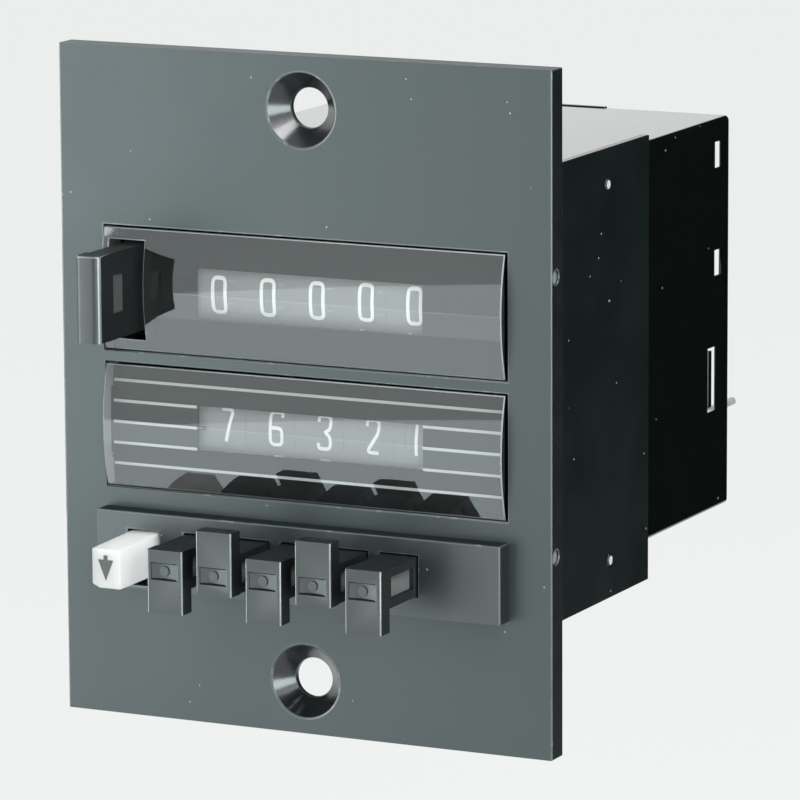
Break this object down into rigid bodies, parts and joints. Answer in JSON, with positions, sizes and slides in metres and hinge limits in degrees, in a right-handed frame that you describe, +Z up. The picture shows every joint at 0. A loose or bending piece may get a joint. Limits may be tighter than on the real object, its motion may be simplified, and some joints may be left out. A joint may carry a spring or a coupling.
{
  "type": "predetermining batch counter",
  "caption": "Panel-mount predetermining batch counter: number-wheel rows behind bulged clear lenses, push reset key, white unlock key and black stepping keys on a grey front plate.",
  "frame": {"origin": "midway between the bolt holes, on the rear face of the front plate that seats on the panel", "axes": "+X to the right seen from the front, +Y to the rear through the panel, +Z up"},
  "size_m": [0.0596, 0.0833, 0.075],
  "materials": {
    "plate": "satin dark grey moulding",
    "lens": "clear moulded plastic",
    "mask": "flat black",
    "cheek": "satin black paint",
    "case": "glossy black moulding",
    "steel": "bright zinc",
    "tinned": "tinned",
    "key": "satin black moulding",
    "white_key": "white moulding",
    "wheel": "grey moulding with white digits",
    "pale_plastic": "natural moulding",
    "winding": "enamelled copper wire"
  },
  "bodies": {
    "housing": {"front_plate": "plate", "count_lens": "lens", "preset_lens": "lens", "count_mask": "mask", "preset_mask": "mask", "cheek_left": "cheek", "cheek_right": "cheek", "cheek_screws": "steel", "cheek_pins": "steel", "case_hood": "case", "bottom_cover": "case", "rear_cover": "case", "terminal_pins": "tinned", "frame_left": "steel", "frame_right": "steel", "frame_pillars": "steel", "pillar_screws": "steel", "switch_bridge": "steel", "count_shaft": "steel", "preset_shaft": "steel", "pinion_shaft": "steel", "reset_spring": "steel", "unlock_spring": "steel", "key_spring_1": "steel", "key_spring_2": "steel", "key_spring_3": "steel", "key_spring_4": "steel", "key_spring_5": "steel", "key_comb": "pale_plastic", "coil_bobbin": "pale_plastic", "coil_winding": "winding", "coil_core": "steel", "coil_yoke": "steel", "armature_spring": "steel", "switch_body": "mask"},
    "reset_key": {"reset_key": "key"},
    "reset_bail": {"reset_bail": "steel"},
    "unlock_key": {"unlock_key": "white_key", "lock_bar": "steel"},
    "armature": {"armature": "steel"},
    "switch_lever": {"switch_lever": "steel"},
    "preset_key_1": {"preset_key_1": "key"},
    "preset_key_2": {"preset_key_2": "key"},
    "preset_key_3": {"preset_key_3": "key"},
    "preset_key_4": {"preset_key_4": "key"},
    "preset_key_5": {"preset_key_5": "key"},
    "count_wheel_1": {"count_wheel_1": "wheel"},
    "count_wheel_2": {"count_wheel_2": "wheel"},
    "count_wheel_3": {"count_wheel_3": "wheel"},
    "count_wheel_4": {"count_wheel_4": "wheel"},
    "count_wheel_5": {"count_wheel_5": "wheel"},
    "preset_wheel_1": {"preset_wheel_1": "wheel"},
    "preset_wheel_2": {"preset_wheel_2": "wheel"},
    "preset_wheel_3": {"preset_wheel_3": "wheel"},
    "preset_wheel_4": {"preset_wheel_4": "wheel"},
    "preset_wheel_5": {"preset_wheel_5": "wheel"},
    "carry_pinion_1": {"carry_pinion_1": "pale_plastic"},
    "carry_pinion_2": {"carry_pinion_2": "pale_plastic"},
    "carry_pinion_3": {"carry_pinion_3": "pale_plastic"},
    "carry_pinion_4": {"carry_pinion_4": "pale_plastic"}
  },
  "joints": [
    {"name": "reset_push", "type": "slide", "parent": "housing", "child": "reset_key", "axis": [0, 1, 0], "range_m": [0, 0.005], "stiffness_N_per_m": 150, "springref_m": -0.005, "deforming": ["reset_spring"]},
    {"name": "unlock_slide", "type": "slide", "parent": "housing", "child": "unlock_key", "axis": [0, 0, -1], "range_m": [0, 0.0012], "stiffness_N_per_m": 300, "springref_m": -0.003, "deforming": ["unlock_spring"]},
    {"name": "preset_push_1", "type": "slide", "parent": "housing", "child": "preset_key_1", "axis": [0, 1, 0], "range_m": [0, 0.004], "stiffness_N_per_m": 200, "springref_m": -0.004, "deforming": ["key_spring_1"]},
    {"name": "preset_push_2", "type": "slide", "parent": "housing", "child": "preset_key_2", "axis": [0, 1, 0], "range_m": [0, 0.004], "stiffness_N_per_m": 200, "springref_m": -0.004, "deforming": ["key_spring_2"]},
    {"name": "preset_push_3", "type": "slide", "parent": "housing", "child": "preset_key_3", "axis": [0, 1, 0], "range_m": [0, 0.004], "stiffness_N_per_m": 200, "springref_m": -0.004, "deforming": ["key_spring_3"]},
    {"name": "preset_push_4", "type": "slide", "parent": "housing", "child": "preset_key_4", "axis": [0, 1, 0], "range_m": [0, 0.004], "stiffness_N_per_m": 200, "springref_m": -0.004, "deforming": ["key_spring_4"]},
    {"name": "preset_push_5", "type": "slide", "parent": "housing", "child": "preset_key_5", "axis": [0, 1, 0], "range_m": [0, 0.004], "stiffness_N_per_m": 200, "springref_m": -0.004, "deforming": ["key_spring_5"]},
    {"name": "reset_rock", "type": "hinge", "parent": "housing", "child": "reset_bail", "pos_m": [0, 0.02, 0.003], "axis": [-1, 0, 0], "range_deg": [0, 36.6]},
    {"name": "count_turn_1", "type": "hinge", "parent": "housing", "child": "count_wheel_1", "pos_m": [-0.012, 0.0082, 0.01065], "axis": [1, 0, 0], "continuous": true},
    {"name": "count_turn_2", "type": "hinge", "parent": "housing", "child": "count_wheel_2", "pos_m": [-0.006, 0.0082, 0.01065], "axis": [1, 0, 0], "continuous": true},
    {"name": "count_turn_3", "type": "hinge", "parent": "housing", "child": "count_wheel_3", "pos_m": [0, 0.0082, 0.01065], "axis": [1, 0, 0], "continuous": true},
    {"name": "count_turn_4", "type": "hinge", "parent": "housing", "child": "count_wheel_4", "pos_m": [0.006, 0.0082, 0.01065], "axis": [1, 0, 0], "continuous": true},
    {"name": "count_turn_5", "type": "hinge", "parent": "housing", "child": "count_wheel_5", "pos_m": [0.012, 0.0082, 0.01065], "axis": [1, 0, 0], "continuous": true},
    {"name": "preset_turn_1", "type": "hinge", "parent": "housing", "child": "preset_wheel_1", "pos_m": [-0.0111, 0.0082, -0.00465], "axis": [1, 0, 0], "range_deg": [0, 36]},
    {"name": "preset_turn_2", "type": "hinge", "parent": "housing", "child": "preset_wheel_2", "pos_m": [-0.0051, 0.0082, -0.00465], "axis": [1, 0, 0], "range_deg": [0, 36]},
    {"name": "preset_turn_3", "type": "hinge", "parent": "housing", "child": "preset_wheel_3", "pos_m": [0.0009, 0.0082, -0.00465], "axis": [1, 0, 0], "range_deg": [0, 36]},
    {"name": "preset_turn_4", "type": "hinge", "parent": "housing", "child": "preset_wheel_4", "pos_m": [0.0069, 0.0082, -0.00465], "axis": [1, 0, 0], "range_deg": [0, 36]},
    {"name": "preset_turn_5", "type": "hinge", "parent": "housing", "child": "preset_wheel_5", "pos_m": [0.0129, 0.0082, -0.00465], "axis": [1, 0, 0], "range_deg": [0, 36]},
    {"name": "carry_turn_1", "type": "hinge", "parent": "housing", "child": "carry_pinion_1", "pos_m": [-0.0097, 0.0173, 0.01065], "axis": [1, 0, 0], "continuous": true},
    {"name": "carry_turn_2", "type": "hinge", "parent": "housing", "child": "carry_pinion_2", "pos_m": [-0.0037, 0.0173, 0.01065], "axis": [1, 0, 0], "continuous": true},
    {"name": "carry_turn_3", "type": "hinge", "parent": "housing", "child": "carry_pinion_3", "pos_m": [0.0023, 0.0173, 0.01065], "axis": [1, 0, 0], "continuous": true},
    {"name": "carry_turn_4", "type": "hinge", "parent": "housing", "child": "carry_pinion_4", "pos_m": [0.0083, 0.0173, 0.01065], "axis": [1, 0, 0], "continuous": true},
    {"name": "armature_rock", "type": "hinge", "parent": "housing", "child": "armature", "pos_m": [0, 0.04975, 0.0146], "axis": [1, 0, 0], "range_deg": [0, 2.5], "stiffness_Nm_per_rad": 0.02, "springref_deg": -3.44, "deforming": ["armature_spring"]},
    {"name": "switch_rock", "type": "hinge", "parent": "housing", "child": "switch_lever", "pos_m": [-0.008, 0.0213, -0.0089], "axis": [-1, 0, 0], "range_deg": [0, 4], "stiffness_Nm_per_rad": 0.002, "springref_deg": -3.44}
  ],
  "couplings": [
    {"joint": "reset_rock", "follows": "reset_push", "rad_per_m": 127.4},
    {"joint": "preset_turn_1", "follows": "preset_push_1", "rad_per_m": 157},
    {"joint": "preset_turn_2", "follows": "preset_push_2", "rad_per_m": 157},
    {"joint": "preset_turn_3", "follows": "preset_push_3", "rad_per_m": 157},
    {"joint": "preset_turn_4", "follows": "preset_push_4", "rad_per_m": 157},
    {"joint": "preset_turn_5", "follows": "preset_push_5", "rad_per_m": 157},
    {"joint": "carry_turn_1", "follows": "count_turn_1", "ratio": -2.5},
    {"joint": "carry_turn_2", "follows": "count_turn_2", "ratio": -2.5},
    {"joint": "carry_turn_3", "follows": "count_turn_3", "ratio": -2.5},
    {"joint": "carry_turn_4", "follows": "count_turn_4", "ratio": -2.5}
  ]
}
